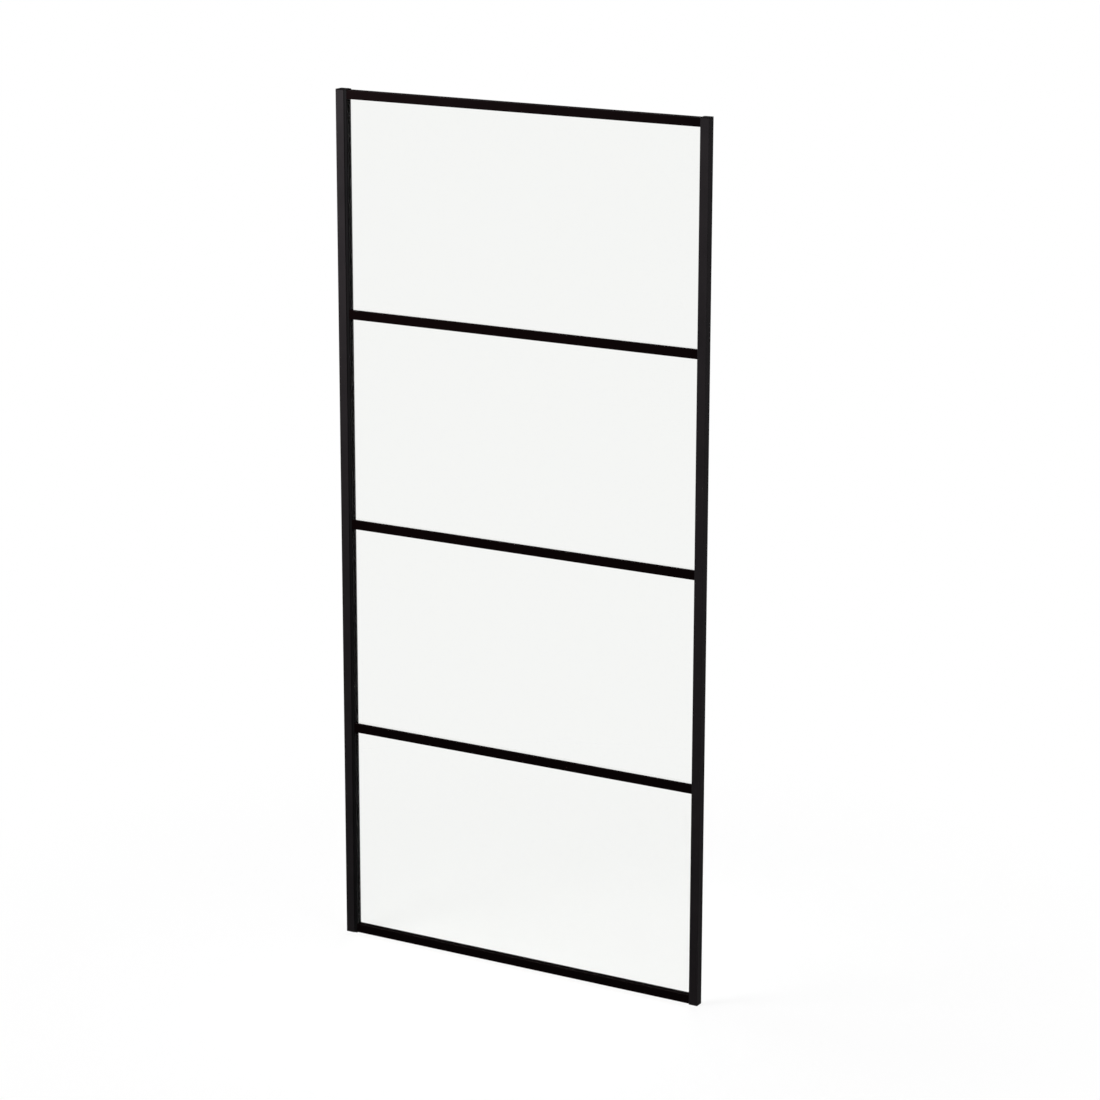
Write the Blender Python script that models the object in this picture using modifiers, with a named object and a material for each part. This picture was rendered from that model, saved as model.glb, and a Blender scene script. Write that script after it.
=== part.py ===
"""Shower side panel: one sheet of toughened glass in a slim black aluminium frame, with three glazing bars
bonded to its front, held along one side by a channel that is screwed to the wall.

Metres, +Z up. The origin is the middle of the channel's wall face. X runs from the wall to the free edge,
Y from the front, which is the dry side, to the back, and Z runs up. Every frame member is an extrusion whose
section is drawn in (u, v): u from the member's outer face towards the glass, v from the front to the back.
"""

import math

import bmesh
import bpy
from mathutils import Vector

# Whole panel
PANEL_WIDTH = 0.890
PANEL_HEIGHT = 1.900

# Frame members
FRAME_DEPTH = 0.020
STILE_WIDTH = 0.020
RAIL_HEIGHT = 0.0184
PROFILE_WALL = 0.0013
EDGE_RADIUS = 0.0006
MOUTH_RADIUS = 0.0003
CHAMBER_RADIUS = 0.0004
LIP_THICKNESS = 0.0014
LIP_REACH = 0.002
SCREW_PORT_RADIUS = 0.00145

# Wall channel
CHANNEL_WIDTH = 0.020
CHANNEL_LEG = 0.0015
CHANNEL_WEB = 0.0016
STILE_SETBACK = 0.0062
WALL_SLOT_WIDTH = 0.0055
WALL_SLOT_LENGTH = 0.010
WALL_SLOT_FROM_END = 0.110
WALL_SLOT_COUNT = 4
LOCK_HOLE_RADIUS = 0.0016
LOCK_HOLE_FROM_EDGE = 0.009
LOCK_HOLE_FROM_END = 0.160
LOCK_HOLE_COUNT = 3

# Glass and what holds it
GLASS_THICKNESS = 0.006
GLASS_BITE = 0.007
GLASS_ARRIS = 0.0004
GASKET_FOOT = 0.0022
GASKET_RECESS = 0.0002
GASKET_RADIUS = 0.0005
BLOCK_THICKNESS = 0.002
BLOCK_LENGTH = 0.060
BLOCK_OVERHANG = 0.001

# Glazing bars
BAR_COUNT = 3
BAR_PITCH = 0.466
BAR_HEIGHT = 0.020
BAR_EDGE_RADIUS = 0.0006
TAPE_THICKNESS = 0.0008
TAPE_MARGIN = 0.002

# End caps
CAP_THICKNESS = 0.0015
CAP_PLUG_DEPTH = 0.008
CAP_PLUG_CLEARANCE = 0.0003

# Pieces that touch are drawn this far apart
GAP = 0.0003
ARC_STEPS = 4
ROUND_HOLE_STEPS = 16
WELD = 0.00001
CUT_MARGIN = 0.001

# What follows from the sizes above
POCKET_DEPTH = GLASS_BITE + BLOCK_THICKNESS + 2 * GAP
HALF_DEPTH = FRAME_DEPTH / 2
HALF_POCKET = HALF_DEPTH - PROFILE_WALL
HALF_MOUTH = HALF_POCKET - LIP_REACH
HALF_GLASS = GLASS_THICKNESS / 2
BASE = -PANEL_HEIGHT / 2
TOP = PANEL_HEIGHT / 2
CUT_BOTTOM = BASE + CAP_THICKNESS + GAP
CUT_TOP = TOP - CAP_THICKNESS - GAP
CLEAR_LEFT = STILE_SETBACK + STILE_WIDTH
CLEAR_RIGHT = PANEL_WIDTH - STILE_WIDTH
CLEAR_BOTTOM = CUT_BOTTOM + RAIL_HEIGHT
CLEAR_TOP = CUT_TOP - RAIL_HEIGHT
CLEAR_MIDDLE_X = (CLEAR_LEFT + CLEAR_RIGHT) / 2
CLEAR_WIDTH = CLEAR_RIGHT - CLEAR_LEFT
CLEAR_HEIGHT = CLEAR_TOP - CLEAR_BOTTOM
CHANNEL_HALF_DEPTH = HALF_DEPTH + GAP + CHANNEL_LEG

# Turning a section about Y points u at the glass, from whichever side the member lies on
FACING_RIGHT = 0.0
FACING_DOWN = math.pi / 2
FACING_LEFT = math.pi
FACING_UP = -math.pi / 2

for old in list(bpy.data.objects):
    bpy.data.objects.remove(old)

parts = bpy.data.collections.new("shower_side_panel")
cutters = bpy.data.collections.new("cutters")
cutters.hide_render = True
bpy.context.scene.collection.children.link(parts)
bpy.context.scene.collection.children.link(cutters)


def finish(name, colour, roughness, metallic=0.0, alpha=1.0, transmission=0.0):
    """A Principled BSDF material."""
    made = bpy.data.materials.new(name)
    made.use_nodes = True
    shader = made.node_tree.nodes["Principled BSDF"]
    shader.inputs["Base Color"].default_value = (*colour, 1.0)
    shader.inputs["Roughness"].default_value = roughness
    shader.inputs["Metallic"].default_value = metallic
    shader.inputs["Alpha"].default_value = alpha
    shader.inputs["Transmission Weight"].default_value = transmission
    return made


black_aluminium = finish("black_powder_coat", (0.010, 0.010, 0.011), 0.42, metallic=0.3)
black_plastic = finish("black_plastic", (0.011, 0.011, 0.012), 0.5)
black_rubber = finish("black_rubber", (0.012, 0.012, 0.012), 0.75)
black_foam = finish("black_foam_tape", (0.014, 0.014, 0.015), 0.9)
clear_glass = finish("clear_toughened_glass", (0.95, 0.98, 0.96), 0.02, alpha=0.35, transmission=1.0)


def rounded(corners):
    """The outline through (u, v, radius) corners, each turned into an arc unless its radius is 0."""
    points = []
    for i, (u, v, radius) in enumerate(corners):
        corner = Vector((u, v))
        if radius == 0:
            points.append(corner)
            continue
        to_last = (Vector(corners[i - 1][:2]) - corner).normalized()
        to_next = (Vector(corners[(i + 1) % len(corners)][:2]) - corner).normalized()
        half = to_last.angle(to_next) / 2
        centre = corner + (to_last + to_next).normalized() * (radius / math.sin(half))
        start = corner + to_last * (radius / math.tan(half)) - centre
        end = corner + to_next * (radius / math.tan(half)) - centre
        first = math.atan2(start.y, start.x)
        sweep = math.remainder(math.atan2(end.y, end.x) - first, math.tau)
        for step in range(ARC_STEPS + 1):
            angle = first + sweep * step / ARC_STEPS
            points.append(centre + Vector((math.cos(angle), math.sin(angle))) * radius)
    return points


def circle(u, v, radius):
    """The outline of a round hole."""
    turns = [math.tau * step / ROUND_HOLE_STEPS for step in range(ROUND_HOLE_STEPS)]
    return [Vector((u + radius * math.cos(turn), v + radius * math.sin(turn))) for turn in turns]


def box_outline(u_low, u_high, v_low, v_high, radius=0.0):
    """The outline of a rectangle with rounded corners."""
    return rounded([
        (u_low, v_low, radius),
        (u_high, v_low, radius),
        (u_high, v_high, radius),
        (u_low, v_high, radius),
    ])


def extrusion(name, outlines, length, material, middle, facing=FACING_RIGHT):
    """A straight extrusion of closed outlines. Outlines inside the first one are its hollows."""
    curve = bpy.data.curves.new(name, "CURVE")
    curve.dimensions = "2D"
    curve.fill_mode = "BOTH"
    curve.extrude = length / 2
    for outline in outlines:
        spline = curve.splines.new("POLY")
        spline.points.add(len(outline) - 1)
        for point, (u, v) in zip(spline.points, outline):
            point.co = (u, v, 0.0, 1.0)
        spline.use_cyclic_u = True
    curve.materials.append(material)
    shape = bpy.data.objects.new(name, curve)
    shape.location = middle
    shape.rotation_euler = (0.0, facing, 0.0)
    parts.objects.link(shape)
    return shape


def block(name, size, material, middle):
    """A cube primitive brought to its size."""
    mesh = bpy.data.meshes.new(name)
    work = bmesh.new()
    bmesh.ops.create_cube(work, size=1.0)
    bmesh.ops.scale(work, vec=size, verts=work.verts)
    work.to_mesh(mesh)
    work.free()
    mesh.materials.append(material)
    shape = bpy.data.objects.new(name, mesh)
    shape.location = middle
    parts.objects.link(shape)
    return shape


def as_mesh(shape):
    """The extrusion as a mesh with its caps welded on, so that a Boolean can work on it."""
    bpy.context.view_layer.update()
    graph = bpy.context.evaluated_depsgraph_get()
    mesh = bpy.data.meshes.new_from_object(shape.evaluated_get(graph))
    work = bmesh.new()
    work.from_mesh(mesh)
    bmesh.ops.remove_doubles(work, verts=work.verts, dist=WELD)
    bmesh.ops.recalc_face_normals(work, faces=work.faces)
    work.to_mesh(mesh)
    work.free()
    name = shape.name
    place = shape.matrix_world.copy()
    bpy.data.objects.remove(shape)
    made = bpy.data.objects.new(name, mesh)
    made.matrix_world = place
    parts.objects.link(made)
    return made


def combine(shape, tool, operation):
    """A Boolean of one piece with a tool, which then only guides the shape."""
    parts.objects.unlink(tool)
    cutters.objects.link(tool)
    tool.hide_render = True
    tool.display_type = "WIRE"
    modifier = shape.modifiers.new(tool.name, "BOOLEAN")
    modifier.operation = operation
    modifier.solver = "EXACT"
    modifier.object = tool


def frame_section(width, screw_ports):
    """A frame member: a hollow outer chamber, then the glazing pocket with a lip on each side of its mouth.
    A rail's chamber is narrower, between the two round ports that its corner screws cut into."""
    floor = width - POCKET_DEPTH
    behind_lip = width - LIP_THICKNESS
    outer = rounded([
        (0.0, -HALF_DEPTH, EDGE_RADIUS),
        (width, -HALF_DEPTH, MOUTH_RADIUS),
        (width, -HALF_MOUTH, 0),
        (behind_lip, -HALF_MOUTH, 0),
        (behind_lip, -HALF_POCKET, 0),
        (floor, -HALF_POCKET, 0),
        (floor, HALF_POCKET, 0),
        (behind_lip, HALF_POCKET, 0),
        (behind_lip, HALF_MOUTH, 0),
        (width, HALF_MOUTH, 0),
        (width, HALF_DEPTH, MOUTH_RADIUS),
        (0.0, HALF_DEPTH, EDGE_RADIUS),
    ])
    half_chamber = HALF_POCKET
    hollows = []
    if screw_ports:
        half_chamber = HALF_POCKET - 2 * SCREW_PORT_RADIUS - PROFILE_WALL
        port = HALF_POCKET - SCREW_PORT_RADIUS
        hollows = [circle(floor / 2, side * port, SCREW_PORT_RADIUS) for side in (-1, 1)]
    chamber = box_outline(
        PROFILE_WALL, floor - PROFILE_WALL, -half_chamber, half_chamber, CHAMBER_RADIUS,
    )
    return [outer, chamber, *hollows]


def gasket_section(width, side):
    """A push-in glazing gasket: a foot behind the lip and a nose between the lip and the glass."""
    lip_line = width - LIP_THICKNESS - GAP
    back = lip_line - GASKET_FOOT
    nose = width - GASKET_RECESS
    glass_line = HALF_GLASS + GAP
    lip_edge = HALF_MOUTH - GAP
    foot_edge = HALF_POCKET - GAP
    radius = min(GASKET_RADIUS, (lip_edge - glass_line) / 3)
    return [rounded([
        (back, side * glass_line, 0),
        (nose, side * glass_line, radius),
        (nose, side * lip_edge, radius),
        (lip_line, side * lip_edge, 0),
        (lip_line, side * foot_edge, 0),
        (back, side * foot_edge, 0),
    ])]


def evenly(count, low, high):
    """Places spread evenly from low to high, both ends included."""
    return [low + (high - low) * i / (count - 1) for i in range(count)]


def wall_channel():
    """A U extrusion with slots in its web for the wall screws and holes in its back leg for the lock screws."""
    inner = CHANNEL_HALF_DEPTH - CHANNEL_LEG
    section = rounded([
        (0.0, -CHANNEL_HALF_DEPTH, EDGE_RADIUS),
        (CHANNEL_WIDTH, -CHANNEL_HALF_DEPTH, EDGE_RADIUS),
        (CHANNEL_WIDTH, -inner, 0),
        (CHANNEL_WEB, -inner, 0),
        (CHANNEL_WEB, inner, 0),
        (CHANNEL_WIDTH, inner, 0),
        (CHANNEL_WIDTH, CHANNEL_HALF_DEPTH, EDGE_RADIUS),
        (0.0, CHANNEL_HALF_DEPTH, EDGE_RADIUS),
    ])
    middle = Vector((0.0, 0.0, (CUT_TOP + BASE) / 2))
    channel = as_mesh(extrusion("wall_channel", [section], CUT_TOP - BASE, black_aluminium, middle))
    half_width = WALL_SLOT_WIDTH / 2
    half_length = WALL_SLOT_LENGTH / 2
    slot = box_outline(-half_width, half_width, -half_length, half_length, half_width - WELD)
    slot_heights = evenly(WALL_SLOT_COUNT, BASE + WALL_SLOT_FROM_END, TOP - WALL_SLOT_FROM_END)
    for number, z in enumerate(slot_heights, 1):
        place = Vector((CHANNEL_WEB / 2, 0.0, z))
        depth = CHANNEL_WEB + 2 * CUT_MARGIN
        tool = extrusion(f"wall_slot_{number}", [slot], depth, black_aluminium, place, FACING_UP)
        combine(channel, as_mesh(tool), "DIFFERENCE")
    hole = circle(0.0, 0.0, LOCK_HOLE_RADIUS)
    hole_heights = evenly(LOCK_HOLE_COUNT, BASE + LOCK_HOLE_FROM_END, TOP - LOCK_HOLE_FROM_END)
    for number, z in enumerate(hole_heights, 1):
        place = Vector((CHANNEL_WIDTH - LOCK_HOLE_FROM_EDGE, CHANNEL_HALF_DEPTH - CHANNEL_LEG / 2, z))
        depth = CHANNEL_LEG + 2 * CUT_MARGIN
        tool = extrusion(f"lock_hole_{number}", [hole], depth, black_aluminium, place)
        tool.rotation_euler = (math.pi / 2, 0.0, 0.0)
        combine(channel, as_mesh(tool), "DIFFERENCE")


def wall_channel_cap():
    """A cap level with the stiles' own: it covers the ends of the channel's legs and plugs the space between
    the web and the stile."""
    stile_line = STILE_SETBACK - GAP
    leg_line = HALF_DEPTH + GAP
    plate = rounded([
        (0.0, -CHANNEL_HALF_DEPTH, EDGE_RADIUS),
        (CHANNEL_WIDTH, -CHANNEL_HALF_DEPTH, EDGE_RADIUS),
        (CHANNEL_WIDTH, -leg_line, 0),
        (stile_line, -leg_line, 0),
        (stile_line, leg_line, 0),
        (CHANNEL_WIDTH, leg_line, 0),
        (CHANNEL_WIDTH, CHANNEL_HALF_DEPTH, EDGE_RADIUS),
        (0.0, CHANNEL_HALF_DEPTH, EDGE_RADIUS),
    ])
    cap = extrusion(
        "wall_channel_top_cap", [plate], CAP_THICKNESS, black_plastic,
        Vector((0.0, 0.0, TOP - CAP_THICKNESS / 2)),
    )
    plug_half = CHANNEL_HALF_DEPTH - CHANNEL_LEG - CAP_PLUG_CLEARANCE
    plug_outline = box_outline(CHANNEL_WEB + CAP_PLUG_CLEARANCE, stile_line, -plug_half, plug_half)
    plug_length = CAP_PLUG_DEPTH + CAP_THICKNESS / 2
    plug = extrusion(
        "channel_cap_plug", [plug_outline], plug_length, black_plastic,
        Vector((0.0, 0.0, TOP - CAP_THICKNESS / 2 - plug_length / 2)),
    )
    combine(as_mesh(cap), as_mesh(plug), "UNION")


def stile(name, outer_x, facing):
    """A full-height member with a plastic cap in each end."""
    middle = Vector((outer_x, 0.0, (CUT_TOP + CUT_BOTTOM) / 2))
    section = frame_section(STILE_WIDTH, screw_ports=False)
    extrusion(name, section, CUT_TOP - CUT_BOTTOM, black_aluminium, middle, facing)
    plate = box_outline(0.0, STILE_WIDTH, -HALF_DEPTH, HALF_DEPTH, EDGE_RADIUS)
    clear = PROFILE_WALL + CAP_PLUG_CLEARANCE
    chamber_end = STILE_WIDTH - POCKET_DEPTH - clear
    plug_half = HALF_POCKET - CAP_PLUG_CLEARANCE
    plug_outline = box_outline(clear, chamber_end, -plug_half, plug_half)
    plug_length = CAP_PLUG_DEPTH + CAP_THICKNESS / 2
    for end, way, face in (("top", -1, TOP), ("bottom", 1, BASE)):
        plate_middle = Vector((outer_x, 0.0, face + way * CAP_THICKNESS / 2))
        plug_middle = plate_middle + Vector((0.0, 0.0, way * plug_length / 2))
        cap = extrusion(f"{name}_{end}_cap", [plate], CAP_THICKNESS, black_plastic, plate_middle, facing)
        plug = extrusion(f"{name}_{end}_plug", [plug_outline], plug_length, black_plastic, plug_middle, facing)
        combine(as_mesh(cap), as_mesh(plug), "UNION")


def rail(name, outer_z, facing):
    """A member between the stiles, its outer face flush with their cut ends, so that their caps stand proud."""
    length = CLEAR_WIDTH - 2 * GAP
    section = frame_section(RAIL_HEIGHT, screw_ports=True)
    extrusion(name, section, length, black_aluminium, Vector((CLEAR_MIDDLE_X, 0.0, outer_z)), facing)


def gaskets():
    """Eight push-in gaskets, one on each side of the glass in each member."""
    upright = CLEAR_HEIGHT + 2 * GLASS_BITE
    level = CLEAR_WIDTH - 2 * GAP
    members = [
        ("wall_side", STILE_WIDTH, upright, Vector((STILE_SETBACK, 0.0, 0.0)), FACING_RIGHT),
        ("free_side", STILE_WIDTH, upright, Vector((PANEL_WIDTH, 0.0, 0.0)), FACING_LEFT),
        ("top", RAIL_HEIGHT, level, Vector((CLEAR_MIDDLE_X, 0.0, CUT_TOP)), FACING_DOWN),
        ("bottom", RAIL_HEIGHT, level, Vector((CLEAR_MIDDLE_X, 0.0, CUT_BOTTOM)), FACING_UP),
    ]
    for place, width, length, middle, facing in members:
        for face, side in (("front", -1), ("back", 1)):
            section = gasket_section(width, side)
            extrusion(f"{face}_gasket_{place}", section, length, black_rubber, middle, facing)


def glass():
    """One sheet held on all four sides, standing on two setting blocks in the bottom rail."""
    width = CLEAR_WIDTH + 2 * GLASS_BITE
    height = CLEAR_HEIGHT + 2 * GLASS_BITE
    pane = block("glass_pane", (width, GLASS_THICKNESS, height), clear_glass, (CLEAR_MIDDLE_X, 0.0, 0.0))
    arris = pane.modifiers.new("ground_arris", "BEVEL")
    arris.width = GLASS_ARRIS
    arris.segments = 1
    pocket_floor = CLEAR_BOTTOM - POCKET_DEPTH
    block_z = pocket_floor + GAP + BLOCK_THICKNESS / 2
    block_size = (BLOCK_LENGTH, GLASS_THICKNESS + 2 * BLOCK_OVERHANG, BLOCK_THICKNESS)
    for place, side in (("wall_side", -1), ("free_side", 1)):
        block_x = CLEAR_MIDDLE_X + side * CLEAR_WIDTH / 4
        block(f"setting_block_{place}", block_size, black_rubber, (block_x, 0.0, block_z))


def glazing_bars():
    """Flat extruded bars, flush with the frame's front, bonded to the glass by a tape in a recess behind them."""
    half = BAR_HEIGHT / 2
    tape_half = half - TAPE_MARGIN
    front = -HALF_DEPTH
    back = -HALF_GLASS - GAP
    recess = back - TAPE_THICKNESS
    section = rounded([
        (-half, front, BAR_EDGE_RADIUS),
        (half, front, BAR_EDGE_RADIUS),
        (half, back, 0),
        (tape_half + GAP, back, 0),
        (tape_half + GAP, recess - GAP, 0),
        (-tape_half - GAP, recess - GAP, 0),
        (-tape_half - GAP, back, 0),
        (-half, back, 0),
    ])
    length = CLEAR_WIDTH - 2 * GAP
    highest = BAR_PITCH * (BAR_COUNT - 1) / 2
    names = ["lower_bar", "middle_bar", "upper_bar"]
    for i, z in enumerate(evenly(BAR_COUNT, -highest, highest)):
        name = names[i] if BAR_COUNT == len(names) else f"bar_{i + 1}"
        extrusion(name, [section], length, black_aluminium, Vector((CLEAR_MIDDLE_X, 0.0, z)), FACING_UP)
        tape_y = (back + recess) / 2
        tape_size = (length, TAPE_THICKNESS, 2 * tape_half)
        block(f"{name}_tape", tape_size, black_foam, (CLEAR_MIDDLE_X, tape_y, z))


wall_channel()
wall_channel_cap()
stile("wall_stile", STILE_SETBACK, FACING_RIGHT)
stile("free_stile", PANEL_WIDTH, FACING_LEFT)
rail("top_rail", CUT_TOP, FACING_DOWN)
rail("bottom_rail", CUT_BOTTOM, FACING_UP)
glass()
gaskets()
glazing_bars()
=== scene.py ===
import math

import bmesh
import bpy
from mathutils import Matrix, Vector


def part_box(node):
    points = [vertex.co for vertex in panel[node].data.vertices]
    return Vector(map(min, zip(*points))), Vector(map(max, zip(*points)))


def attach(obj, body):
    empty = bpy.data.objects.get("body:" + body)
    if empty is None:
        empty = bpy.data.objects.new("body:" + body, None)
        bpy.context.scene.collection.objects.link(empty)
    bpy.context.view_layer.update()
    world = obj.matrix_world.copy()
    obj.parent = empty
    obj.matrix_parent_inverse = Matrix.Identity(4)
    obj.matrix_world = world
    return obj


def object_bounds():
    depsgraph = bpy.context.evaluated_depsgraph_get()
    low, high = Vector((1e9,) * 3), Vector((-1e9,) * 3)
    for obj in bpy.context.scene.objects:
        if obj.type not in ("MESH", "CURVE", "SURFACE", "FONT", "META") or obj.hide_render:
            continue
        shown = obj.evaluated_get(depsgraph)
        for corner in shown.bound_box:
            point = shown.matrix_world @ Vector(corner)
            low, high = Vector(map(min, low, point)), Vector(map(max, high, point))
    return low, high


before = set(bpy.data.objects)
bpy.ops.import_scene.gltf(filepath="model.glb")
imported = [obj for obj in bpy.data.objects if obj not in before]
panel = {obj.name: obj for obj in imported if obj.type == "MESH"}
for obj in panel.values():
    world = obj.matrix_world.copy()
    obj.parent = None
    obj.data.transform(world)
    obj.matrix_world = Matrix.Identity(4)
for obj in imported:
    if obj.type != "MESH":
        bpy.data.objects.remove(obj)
solids_low, solids_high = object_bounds()


# The wall channel is a U of extruded aluminium, powder coated black before it was cut and drilled. It is
# screwed to the wall through the slots in its web, and the panel's own stile slides into it. The coat is
# sprayed on dry and baked, so it has a fine orange peel over the faint lines that the die left lengthways.
UPRIGHT_BLACK = (0.0105, 0.0090, 0.0099, 1.0)
UPRIGHT_GREY = (0.0155, 0.0133, 0.0144, 1.0)
NOISE_LOW = 0.3
NOISE_HIGH = 0.7
COAT_CLOUD_PER_M = 9.0
COAT_SPECK_OCTAVES = 9.0
COAT_SPECK_FINENESS = 0.7
PEEL_PER_M = 900.0
PEEL_DEPTH = 0.000055
DIE_LINES_PER_M = 1500.0
DIE_LINE_OCTAVES = 1.0
DIE_LINE_STRETCH = 0.004
DIE_LINE_DEPTH = 0.000012
COAT_ROUGHNESS = (0.62, 0.74)
UPRIGHT_SHINE = 0.03
LENGTHWAYS_Z = (1.0, 1.0, DIE_LINE_STRETCH)
LENGTHWAYS_X = (DIE_LINE_STRETCH, 1.0, 1.0)


def add(tree, kind, **settings):
    """A node with its plain settings made."""
    made = tree.nodes.new(kind)
    for name, value in settings.items():
        setattr(made, name, value)
    return made


def grain(tree, place, per_m, octaves=3.0, fineness=0.5):
    """Noise of so many lumps to the metre at the point that place gives, with finer ones added in octaves."""
    noise = add(tree, "ShaderNodeTexNoise", noise_dimensions="3D")
    noise.inputs["Scale"].default_value = per_m
    noise.inputs["Detail"].default_value = octaves
    noise.inputs["Roughness"].default_value = fineness
    tree.links.new(place, noise.inputs["Vector"])
    return noise.outputs["Fac"]


def spread(tree, share, low, high):
    """A share of noise, which mostly lies from NOISE_LOW to NOISE_HIGH, spread over low to high."""
    made = add(tree, "ShaderNodeMapRange", clamp=True)
    made.inputs["From Min"].default_value = NOISE_LOW
    made.inputs["From Max"].default_value = NOISE_HIGH
    made.inputs["To Min"].default_value = low
    made.inputs["To Max"].default_value = high
    tree.links.new(share, made.inputs["Value"])
    return made.outputs["Result"]


def two_tones(tree, share, first, second):
    """A colour between two tones."""
    made = add(tree, "ShaderNodeMix", data_type="RGBA")
    colours = [socket for socket in made.inputs if socket.type == "RGBA"]
    colours[0].default_value = first
    colours[1].default_value = second
    tree.links.new(spread(tree, share, 0.0, 1.0), made.inputs["Factor"])
    return next(socket for socket in made.outputs if socket.type == "RGBA")


def relief(tree, height, depth, under=None):
    """A bump of a real depth in metres, over another one."""
    made = add(tree, "ShaderNodeBump")
    made.inputs["Strength"].default_value = 1.0
    made.inputs["Distance"].default_value = depth
    tree.links.new(height, made.inputs["Height"])
    if under is not None:
        tree.links.new(under, made.inputs["Normal"])
    return made.outputs["Normal"]


def finish(name):
    """A new material with its tree, its shader and a point on the piece in metres."""
    made = bpy.data.materials.new(name)
    made.use_nodes = True
    tree = made.node_tree
    place = add(tree, "ShaderNodeTexCoord").outputs["Object"]
    return made, tree, tree.nodes["Principled BSDF"], place


def powder_coat(name, lengthways, black, grey, shine):
    """Black powder coat on an extrusion that runs lengthways."""
    made, tree, shader, place = finish(name)
    cloud = grain(tree, place, COAT_CLOUD_PER_M, COAT_SPECK_OCTAVES, COAT_SPECK_FINENESS)
    tree.links.new(two_tones(tree, cloud, black, grey), shader.inputs["Base Color"])
    stretch = add(tree, "ShaderNodeMapping")
    stretch.inputs["Scale"].default_value = lengthways
    tree.links.new(place, stretch.inputs["Vector"])
    die_lines = grain(tree, stretch.outputs["Vector"], DIE_LINES_PER_M, DIE_LINE_OCTAVES)
    peel = grain(tree, place, PEEL_PER_M)
    tree.links.new(spread(tree, peel, *COAT_ROUGHNESS), shader.inputs["Roughness"])
    lined = relief(tree, die_lines, DIE_LINE_DEPTH)
    tree.links.new(relief(tree, peel, PEEL_DEPTH, lined), shader.inputs["Normal"])
    shader.inputs["Specular IOR Level"].default_value = shine
    return made


def dress(material, *names):
    """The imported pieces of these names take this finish."""
    for name in names:
        slots = panel[name].data.materials
        slots.clear()
        slots.append(material)


upright_coat = powder_coat("upright_black_coat", LENGTHWAYS_Z, UPRIGHT_BLACK, UPRIGHT_GREY, UPRIGHT_SHINE)
dress(upright_coat, "wall_channel")


# A set screw sits in each of the three tapped holes in the channel's back leg. Blackened steel with a hexagon
# socket, it is driven flush from inside the shower, and its narrowed point holds the stile in its place.
SCREW_STEEL = (0.045, 0.044, 0.043, 1.0)
SCREW_WORN = (0.110, 0.105, 0.100, 1.0)
SCREW_GRAIN_PER_M = 4000.0
SCREW_ROUGHNESS = (0.28, 0.45)
SCREW_RADIUS = 0.0015
SCREW_ROOT_RADIUS = 0.00125
SCREW_POINT_RADIUS = 0.00075
SCREW_PITCH = 0.0005
SCREW_LENGTH = 0.0030
SCREW_CHAMFER = 0.0002
SCREW_RECESS = 0.0001
SCREW_SIDES = 32
SOCKET_SIDES = 6
SOCKET_ACROSS_FLATS = 0.0015
SOCKET_DEPTH = 0.0012
HOLE_FROM_CHANNEL_EDGE = 0.009
HOLE_FROM_PANEL_END = 0.160
HOLE_COUNT = 3


def set_screw_mesh():
    """The screw along +Z with its driven end at z = 0: a turned thread, then a hexagon sunk into its end."""
    profile = [(SCREW_RADIUS - SCREW_CHAMFER, 0.0), (SCREW_RADIUS, -SCREW_CHAMFER)]
    depth = SCREW_CHAMFER
    while depth + SCREW_PITCH < SCREW_LENGTH - SCREW_CHAMFER:
        profile.append((SCREW_ROOT_RADIUS, -depth - SCREW_PITCH / 2))
        profile.append((SCREW_RADIUS, -depth - SCREW_PITCH))
        depth += SCREW_PITCH
    profile.append((SCREW_POINT_RADIUS, -SCREW_LENGTH))
    work = bmesh.new()
    rings = []
    for radius, height in profile:
        ring = bmesh.ops.create_circle(work, segments=SCREW_SIDES, radius=radius)["verts"]
        bmesh.ops.translate(work, verts=ring, vec=(0.0, 0.0, height))
        rings.append(ring)
    for upper, lower in zip(rings, rings[1:]):
        for i in range(SCREW_SIDES):
            j = (i + 1) % SCREW_SIDES
            work.faces.new((upper[i], lower[i], lower[j], upper[j]))
    work.faces.new(list(reversed(rings[-1])))
    socket_radius = SOCKET_ACROSS_FLATS / 2 / math.cos(math.pi / SOCKET_SIDES)
    mouth = bmesh.ops.create_circle(work, segments=SOCKET_SIDES, radius=socket_radius)["verts"]
    seat = bmesh.ops.create_circle(work, segments=SOCKET_SIDES, radius=socket_radius)["verts"]
    bmesh.ops.translate(work, verts=seat, vec=(0.0, 0.0, -SOCKET_DEPTH))
    for i in range(SOCKET_SIDES):
        j = (i + 1) % SOCKET_SIDES
        work.faces.new((mouth[j], seat[j], seat[i], mouth[i]))
    work.faces.new(seat)
    rims = [edge for edge in work.edges if edge.is_boundary]
    bmesh.ops.triangle_fill(work, edges=rims, use_beauty=True, normal=(0.0, 0.0, 1.0))
    bmesh.ops.recalc_face_normals(work, faces=work.faces)
    mesh = bpy.data.meshes.new("set_screw")
    work.to_mesh(mesh)
    work.free()
    return mesh


def blackened_steel(name):
    """Steel blackened in a hot bath, rubbed bright in places."""
    made, tree, shader, place = finish(name)
    rubbed = grain(tree, place, SCREW_GRAIN_PER_M)
    tree.links.new(two_tones(tree, rubbed, SCREW_STEEL, SCREW_WORN), shader.inputs["Base Color"])
    tree.links.new(spread(tree, rubbed, *SCREW_ROUGHNESS), shader.inputs["Roughness"])
    shader.inputs["Metallic"].default_value = 1.0
    return made


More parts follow.
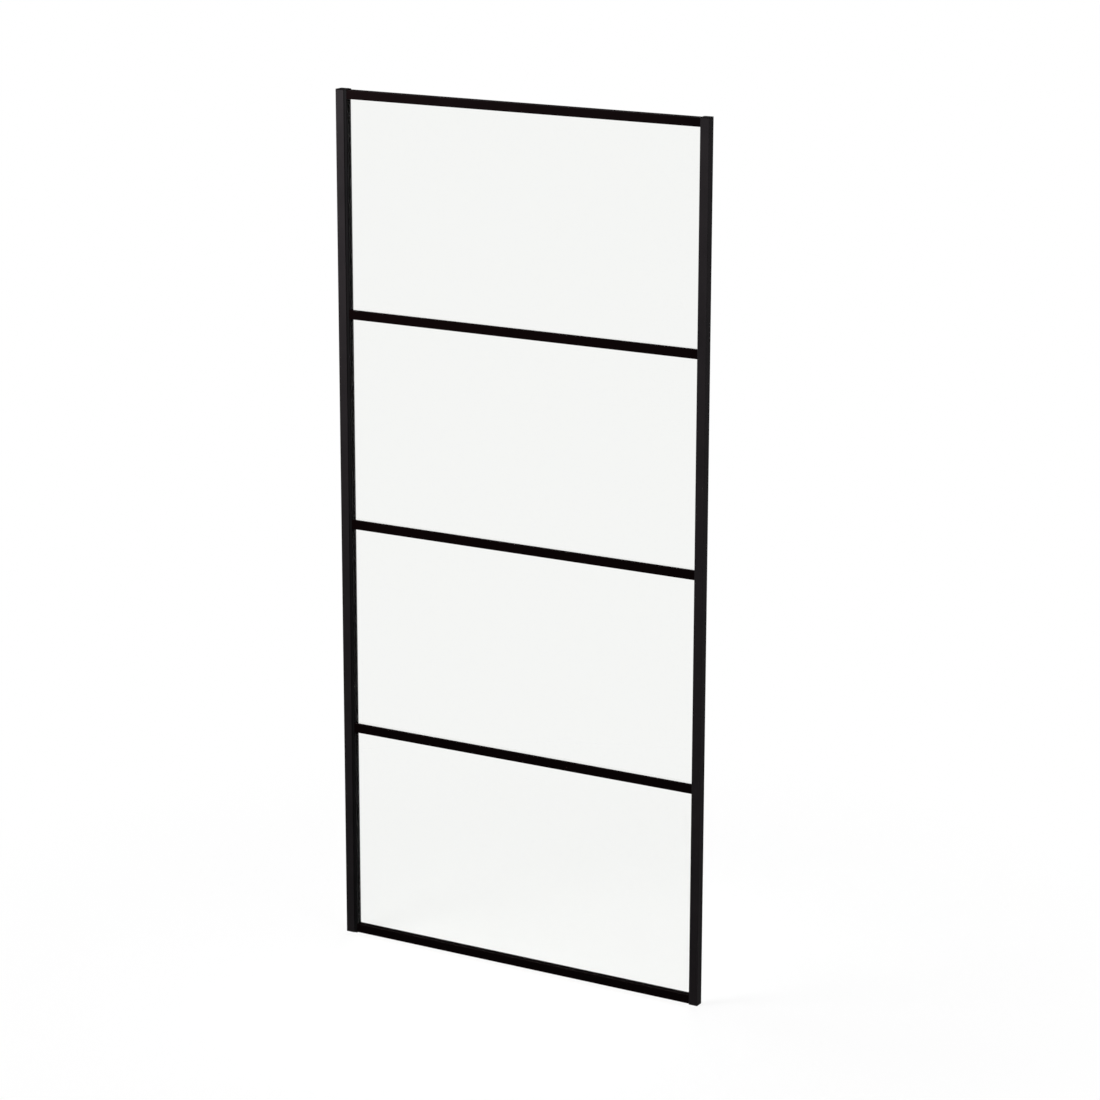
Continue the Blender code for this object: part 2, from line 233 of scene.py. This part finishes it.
channel_low, channel_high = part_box("wall_channel")
screw_shape = set_screw_mesh()
screw_shape.materials.append(blackened_steel("blackened_steel"))
lowest_hole = solids_low.z + HOLE_FROM_PANEL_END
highest_hole = solids_high.z - HOLE_FROM_PANEL_END
for number in range(HOLE_COUNT):
    height = lowest_hole + (highest_hole - lowest_hole) * number / (HOLE_COUNT - 1)
    screw = bpy.data.objects.new(f"lock_screw_{number + 1}", screw_shape)
    bpy.context.scene.collection.objects.link(screw)
    screw.rotation_euler = (-math.pi / 2, 0.0, 0.0)
    screw.location = (
        channel_high.x - HOLE_FROM_CHANNEL_EDGE,
        channel_high.y - SCREW_RECESS,
        height,
    )
    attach(screw, "root")


# The two stiles are hollow extrusions, each with a glazing pocket along its inner side. The one on the wall
# side stands in the channel and shows only a strip beside it, and its coat is painted a deeper black than
# that of the channel and the free stile, as painted shade on that strip.
WALL_STILE_SHADED_BLACK = (0.0043, 0.0040, 0.0044, 1.0)
WALL_STILE_SHADED_GREY = (0.0066, 0.0061, 0.0065, 1.0)
HIDDEN_SHINE = 0.02
shaded_wall_stile_coat = powder_coat("wall_stile_painted_shade_coat", LENGTHWAYS_Z, WALL_STILE_SHADED_BLACK, WALL_STILE_SHADED_GREY, HIDDEN_SHINE)
dress(shaded_wall_stile_coat, "wall_stile")
dress(upright_coat, "free_stile")


# Caps of moulded plastic close both ends of the stiles and the top of the channel, pushed in on short plugs,
# and stand a little proud of the rails. Their mould was spark eroded, which leaves an even, fine matt grain.
# Their black is painted deeper than the coat's, as painted shade on their lit tops.
CAP_SHADED_BLACK = (0.0034, 0.0029, 0.0030, 1.0)
CAP_SHADED_GREY = (0.0058, 0.0049, 0.0052, 1.0)
MOULD_GRAIN_PER_M = 3200.0
MOULD_GRAIN_DEPTH = 0.000035
MOULD_CLOUD_PER_M = 400.0
CAP_ROUGHNESS = (0.70, 0.82)
CAP_SHINE = 0.005


def moulded_plastic(name):
    """Black plastic from a spark-eroded mould."""
    made, tree, shader, place = finish(name)
    pits = add(tree, "ShaderNodeTexVoronoi", feature="SMOOTH_F1")
    pits.inputs["Scale"].default_value = MOULD_GRAIN_PER_M
    tree.links.new(place, pits.inputs["Vector"])
    cloud = grain(tree, place, MOULD_CLOUD_PER_M)
    # The caps' base colour is darkened as painted shade.
    tree.links.new(two_tones(tree, cloud, CAP_SHADED_BLACK, CAP_SHADED_GREY), shader.inputs["Base Color"])
    tree.links.new(spread(tree, cloud, *CAP_ROUGHNESS), shader.inputs["Roughness"])
    tree.links.new(relief(tree, pits.outputs["Distance"], MOULD_GRAIN_DEPTH), shader.inputs["Normal"])
    shader.inputs["Specular IOR Level"].default_value = CAP_SHINE
    return made


dress(
    moulded_plastic("moulded_black_plastic_painted_shade"),
    "wall_channel_top_cap",
    "wall_stile_top_cap",
    "wall_stile_bottom_cap",
    "free_stile_top_cap",
    "free_stile_bottom_cap",
)


# The top and bottom rails are shorter lengths of a like extrusion, cut square and screwed between the stiles.
# Their coat is a little browner than the uprights', and painted blacker, as painted shade.
RAIL_SHADED_BLACK = (0.0026, 0.0015, 0.0016, 1.0)
RAIL_SHADED_GREY = (0.0039, 0.0022, 0.0024, 1.0)
RAIL_SHINE = 0.003
shaded_rail_coat = powder_coat("rail_painted_shade_coat", LENGTHWAYS_X, RAIL_SHADED_BLACK, RAIL_SHADED_GREY, RAIL_SHINE)
dress(shaded_rail_coat, "top_rail", "bottom_rail")


# The pane is one sheet of 6 mm clear float glass, cut, ground along its edges and then toughened. The rollers
# of the furnace leave long shallow waves in it, and the iron in it gives it a very faint green tint.
GLASS_TINT = (0.908, 0.916, 0.902, 1.0)
GLASS_SHADE = (0.955, 0.960, 0.950, 1.0)
GLASS_IOR = 1.52
POLISHED = 0.0
GROUND = 0.42
FLAT_FACE = 0.99
ROLLER_WAVES_PER_M = 3.3
ROLLER_WAVE_OCTAVES = 0.0
ROLLER_WAVE_DEPTH = 0.000010
ROLLER_WAVE_STRETCH = (0.15, 1.0, 1.0)


def toughened_glass(name):
    """Clear glass that lets the lamps' light through, with ground edges."""
    made, tree, shader, place = finish(name)
    facing = add(tree, "ShaderNodeSeparateXYZ")
    tree.links.new(add(tree, "ShaderNodeTexCoord").outputs["Normal"], facing.inputs["Vector"])
    across = add(tree, "ShaderNodeMath", operation="ABSOLUTE")
    tree.links.new(facing.outputs["Y"], across.inputs[0])
    edge = add(tree, "ShaderNodeMath", operation="LESS_THAN")
    tree.links.new(across.outputs["Value"], edge.inputs[0])
    edge.inputs[1].default_value = FLAT_FACE
    roughness = add(tree, "ShaderNodeMapRange")
    roughness.inputs["To Min"].default_value = POLISHED
    roughness.inputs["To Max"].default_value = GROUND
    tree.links.new(edge.outputs["Value"], roughness.inputs["Value"])
    tree.links.new(roughness.outputs["Result"], shader.inputs["Roughness"])
    stretch = add(tree, "ShaderNodeMapping")
    stretch.inputs["Scale"].default_value = ROLLER_WAVE_STRETCH
    tree.links.new(place, stretch.inputs["Vector"])
    waves = grain(tree, stretch.outputs["Vector"], ROLLER_WAVES_PER_M, ROLLER_WAVE_OCTAVES)
    tree.links.new(relief(tree, waves, ROLLER_WAVE_DEPTH), shader.inputs["Normal"])
    shader.inputs["Base Color"].default_value = GLASS_TINT
    shader.inputs["IOR"].default_value = GLASS_IOR
    shader.inputs["Transmission Weight"].default_value = 1.0
    lamp_light = add(tree, "ShaderNodeBsdfTransparent")
    lamp_light.inputs["Color"].default_value = GLASS_SHADE
    to_lamp = add(tree, "ShaderNodeLightPath").outputs["Is Shadow Ray"]
    either = add(tree, "ShaderNodeMixShader")
    tree.links.new(to_lamp, either.inputs[0])
    tree.links.new(shader.outputs["BSDF"], either.inputs[1])
    tree.links.new(lamp_light.outputs["BSDF"], either.inputs[2])
    tree.links.new(either.outputs["Shader"], tree.nodes["Material Output"].inputs["Surface"])
    return made


dress(toughened_glass("clear_toughened_glass"), "glass_pane")


# The pane stands on two blocks of hard rubber in the bottom rail and is gripped by push-in gaskets of softer
# rubber, front and back, all the way round. Both are extruded and cut, and matt with a dusty bloom. The
# upright gaskets are painted lighter, as painted light, and the level gaskets and the blocks darker, as
# painted shade.
UPRIGHT_RUBBER_LIGHTENED = (0.0172, 0.0164, 0.0170, 1.0)
UPRIGHT_BLOOM_LIGHTENED = (0.0332, 0.0318, 0.0326, 1.0)
LEVEL_RUBBER_SHADED = (0.0030, 0.0022, 0.0023, 1.0)
LEVEL_BLOOM_SHADED = (0.0058, 0.0044, 0.0046, 1.0)
BLOOM_PER_M = 160.0
BLOOM_OCTAVES = 5.0
RUBBER_SKIN_PER_M = 5200.0
RUBBER_SKIN_OCTAVES = 2.0
RUBBER_SKIN_DEPTH = 0.000020
RUBBER_ROUGHNESS = (0.68, 0.86)
RUBBER_SHINE = 0.005


def glazing_rubber(name, lengthways, black, dusty):
    """Extruded rubber that runs lengthways."""
    made, tree, shader, place = finish(name)
    bloom = grain(tree, place, BLOOM_PER_M, BLOOM_OCTAVES)
    tree.links.new(two_tones(tree, bloom, black, dusty), shader.inputs["Base Color"])
    tree.links.new(spread(tree, bloom, *RUBBER_ROUGHNESS), shader.inputs["Roughness"])
    stretch = add(tree, "ShaderNodeMapping")
    stretch.inputs["Scale"].default_value = lengthways
    tree.links.new(place, stretch.inputs["Vector"])
    skin = grain(tree, stretch.outputs["Vector"], RUBBER_SKIN_PER_M, RUBBER_SKIN_OCTAVES)
    tree.links.new(relief(tree, skin, RUBBER_SKIN_DEPTH), shader.inputs["Normal"])
    shader.inputs["Specular IOR Level"].default_value = RUBBER_SHINE
    return made


# The upright rubber is painted lighter as painted light, and the level rubber darker as painted shade.
upright_rubber_painted_light = glazing_rubber("upright_glazing_rubber_painted_light", LENGTHWAYS_Z, UPRIGHT_RUBBER_LIGHTENED, UPRIGHT_BLOOM_LIGHTENED)
level_rubber_painted_shade = glazing_rubber("level_glazing_rubber_painted_shade", LENGTHWAYS_X, LEVEL_RUBBER_SHADED, LEVEL_BLOOM_SHADED)
dress(level_rubber_painted_shade, "setting_block_wall_side", "setting_block_free_side")
for face in ("front", "back"):
    dress(upright_rubber_painted_light, f"{face}_gasket_wall_side", f"{face}_gasket_free_side")
    dress(level_rubber_painted_shade, f"{face}_gasket_top", f"{face}_gasket_bottom")


# Three flat bars make the grid. Each is a solid strip of aluminium, coated a dull brownish black, with a
# shallow recess down its back for the tape that bonds it to the front of the glass, so nothing crosses the
# back of the pane. Their black is painted deeper than the uprights' coat, as painted shade.
BAR_SHADED_BLACK = (0.0018, 0.0007, 0.0008, 1.0)
BAR_SHADED_GREY = (0.0029, 0.0012, 0.0013, 1.0)
BAR_SHINE = 0.01
shaded_bar_coat = powder_coat("bar_painted_shade_coat", LENGTHWAYS_X, BAR_SHADED_BLACK, BAR_SHADED_GREY, BAR_SHINE)
dress(shaded_bar_coat, "upper_bar", "middle_bar", "lower_bar")


# The tape is black acrylic foam, sticky on both sides. It wets the glass unevenly, so from behind it shows
# through the pane as a dark strip with paler specks of trapped air inside the bar's own outline.
TAPE_BLACK = (0.0060, 0.0060, 0.0063, 1.0)
TAPE_AIR = (0.0180, 0.0180, 0.0186, 1.0)
TAPE_CELLS_PER_M = 2600.0
TAPE_CELL_DEPTH = 0.000060
TAPE_AIR_PER_M = 260.0
TAPE_AIR_OCTAVES = 6.0
TAPE_ROUGHNESS = (0.80, 0.95)


def bonding_tape(name):
    """Acrylic foam with closed cells."""
    made, tree, shader, place = finish(name)
    cells = add(tree, "ShaderNodeTexVoronoi", feature="F1")
    cells.inputs["Scale"].default_value = TAPE_CELLS_PER_M
    tree.links.new(place, cells.inputs["Vector"])
    air = grain(tree, place, TAPE_AIR_PER_M, TAPE_AIR_OCTAVES)
    tree.links.new(two_tones(tree, air, TAPE_BLACK, TAPE_AIR), shader.inputs["Base Color"])
    tree.links.new(spread(tree, air, *TAPE_ROUGHNESS), shader.inputs["Roughness"])
    tree.links.new(relief(tree, cells.outputs["Distance"], TAPE_CELL_DEPTH), shader.inputs["Normal"])
    shader.inputs["Specular IOR Level"].default_value = RUBBER_SHINE
    return made


dress(bonding_tape("foam_bonding_tape"), "upper_bar_tape", "middle_bar_tape", "lower_bar_tape")


# The studio has a white floor and a white surround. Both show white wherever they are looked at, straight on,
# in the coat or through the glass, and only the part of the floor round the panel takes its soft shadow.
FLOOR_SIZE = 90.0
FLOOR_PAINT = (0.12, 0.12, 0.12, 1.0)
FLOOR_GLOW = 0.84
WHITE = (1.0, 1.0, 1.0, 1.0)
SHADOW_FADE_START = 0.6
SHADOW_FADE_END = 1.6
SURROUND_LIGHT = 0.55


def looked_at(tree):
    """1 for what the camera sees straight on, mirrored or through glass, and 0 for light on other things."""
    rays = add(tree, "ShaderNodeLightPath")
    seen = rays.outputs["Is Camera Ray"]
    for way in ("Is Glossy Ray", "Is Transmission Ray"):
        most = add(tree, "ShaderNodeMath", operation="MAXIMUM")
        tree.links.new(seen, most.inputs[0])
        tree.links.new(rays.outputs[way], most.inputs[1])
        seen = most.outputs["Value"]
    return seen


def glow(tree, strength):
    """White light that only shows where it is looked at."""
    dark = add(tree, "ShaderNodeEmission")
    dark.inputs["Strength"].default_value = 0.0
    lit = add(tree, "ShaderNodeEmission")
    lit.inputs["Color"].default_value = WHITE
    lit.inputs["Strength"].default_value = strength
    either = add(tree, "ShaderNodeMixShader")
    tree.links.new(looked_at(tree), either.inputs[0])
    tree.links.new(dark.outputs["Emission"], either.inputs[1])
    tree.links.new(lit.outputs["Emission"], either.inputs[2])
    return either.outputs["Shader"]


def floor_paint():
    """Grey paint that looks white under a glow of its own, and fades to plain white away from the panel."""
    made, tree, shader, place = finish("studio_floor")
    shader.inputs["Base Color"].default_value = FLOOR_PAINT
    shader.inputs["Roughness"].default_value = 1.0
    shader.inputs["Specular IOR Level"].default_value = 0.0
    near = add(tree, "ShaderNodeAddShader")
    tree.links.new(shader.outputs["BSDF"], near.inputs[0])
    tree.links.new(glow(tree, FLOOR_GLOW), near.inputs[1])
    away = add(tree, "ShaderNodeVectorMath", operation="LENGTH")
    tree.links.new(place, away.inputs[0])
    fade = add(tree, "ShaderNodeMapRange", interpolation_type="SMOOTHSTEP")
    fade.inputs["From Min"].default_value = SHADOW_FADE_START
    fade.inputs["From Max"].default_value = SHADOW_FADE_END
    tree.links.new(away.outputs["Value"], fade.inputs["Value"])
    either = add(tree, "ShaderNodeMixShader")
    tree.links.new(fade.outputs["Result"], either.inputs[0])
    tree.links.new(near.outputs["Shader"], either.inputs[1])
    tree.links.new(glow(tree, 1.0), either.inputs[2])
    tree.links.new(either.outputs["Shader"], tree.nodes["Material Output"].inputs["Surface"])
    return made


middle = (solids_low + solids_high) / 2
floor_mesh = bpy.data.meshes.new("studio_floor")
floor_work = bmesh.new()
bmesh.ops.create_grid(floor_work, x_segments=1, y_segments=1, size=FLOOR_SIZE / 2)
floor_work.to_mesh(floor_mesh)
floor_work.free()
floor_mesh.materials.append(floor_paint())
floor = bpy.data.objects.new("studio_floor", floor_mesh)
floor.location = (middle.x, middle.y, solids_low.z)
bpy.context.scene.collection.objects.link(floor)

surround = bpy.data.worlds.new("white_surround")
surround.use_nodes = True
surround_tree = surround.node_tree
lighting = surround_tree.nodes["Background"]
lighting.inputs["Color"].default_value = WHITE
lighting.inputs["Strength"].default_value = SURROUND_LIGHT
backdrop = add(surround_tree, "ShaderNodeBackground")
backdrop.inputs["Color"].default_value = WHITE
backdrop.inputs["Strength"].default_value = 1.0
surround_mix = add(surround_tree, "ShaderNodeMixShader")
surround_tree.links.new(looked_at(surround_tree), surround_mix.inputs[0])
surround_tree.links.new(lighting.outputs["Background"], surround_mix.inputs[1])
surround_tree.links.new(backdrop.outputs["Background"], surround_mix.inputs[2])
surround_tree.links.new(surround_mix.outputs["Shader"], surround_tree.nodes["World Output"].inputs["Surface"])
bpy.context.scene.world = surround


# The lamps are softboxes on stands. The key stands in front to the left, above what the pane mirrors to the
# camera, so the uprights catch it at the top and fade downwards. The others fill in from the right and from
# behind.
KEY_PLACE = (-0.4, -1.1, 1.5)
KEY_TARGET = (0.2, 0.0, 0.8)
KEY_SIDE = 0.7
KEY_WATTS = 50.0
FILL_PLACE = (2.6, -1.0, 1.9)
FILL_TARGET = (0.9, 0.0, 0.6)
FILL_SIDE = 1.0
FILL_WATTS = 20.0
BACK_PLACE = (-0.8, 3.0, 3.0)
BACK_SIDE = 1.6
BACK_WATTS = 56.0


def softbox(name, place, target, side, watts):
    """A soft square lamp at place that faces target."""
    lamp = bpy.data.lights.new(name, "AREA")
    lamp.shape = "SQUARE"
    lamp.size = side
    lamp.energy = watts
    made = bpy.data.objects.new(name, lamp)
    made.location = place
    made.rotation_euler = (Vector(target) - Vector(place)).to_track_quat("-Z", "Y").to_euler()
    bpy.context.scene.collection.objects.link(made)


softbox("key_softbox", KEY_PLACE, KEY_TARGET, KEY_SIDE, KEY_WATTS)
softbox("fill_softbox", FILL_PLACE, FILL_TARGET, FILL_SIDE, FILL_WATTS)
softbox("back_softbox", BACK_PLACE, middle, BACK_SIDE, BACK_WATTS)


# The camera stands to the right of the panel and a little above its middle, about 7.4 m away with a long
# lens, so that both uprights lean in only slightly. It aims beside the middle, and its roll is a hair over 0.
CAMERA_ROUND = math.radians(29.875)
CAMERA_ABOVE = math.radians(14.786)
CAMERA_ROLL = math.radians(0.124)
CAMERA_DISTANCE = 7.393
CAMERA_LENS_MM = 113.616
AIM_TO_RIGHT = 0.0651
AIM_DOWN = 0.0039

back = Vector((
    math.sin(CAMERA_ROUND) * math.cos(CAMERA_ABOVE),
    -math.cos(CAMERA_ROUND) * math.cos(CAMERA_ABOVE),
    math.sin(CAMERA_ABOVE),
))
level_right = Vector((math.cos(CAMERA_ROUND), math.sin(CAMERA_ROUND), 0.0))
level_up = back.cross(level_right)
right = level_right * math.cos(CAMERA_ROLL) + level_up * math.sin(CAMERA_ROLL)
up = level_up * math.cos(CAMERA_ROLL) - level_right * math.sin(CAMERA_ROLL)
aim = middle + right * AIM_TO_RIGHT - up * AIM_DOWN
lens = bpy.data.cameras.new("camera")
lens.lens = CAMERA_LENS_MM
camera = bpy.data.objects.new("camera", lens)
turn = Matrix((right, up, back)).transposed().to_4x4()
camera.matrix_world = Matrix.Translation(aim + back * CAMERA_DISTANCE) @ turn
bpy.context.scene.collection.objects.link(camera)
bpy.context.scene.camera = camera
bpy.context.scene.view_settings.view_transform = "Standard"
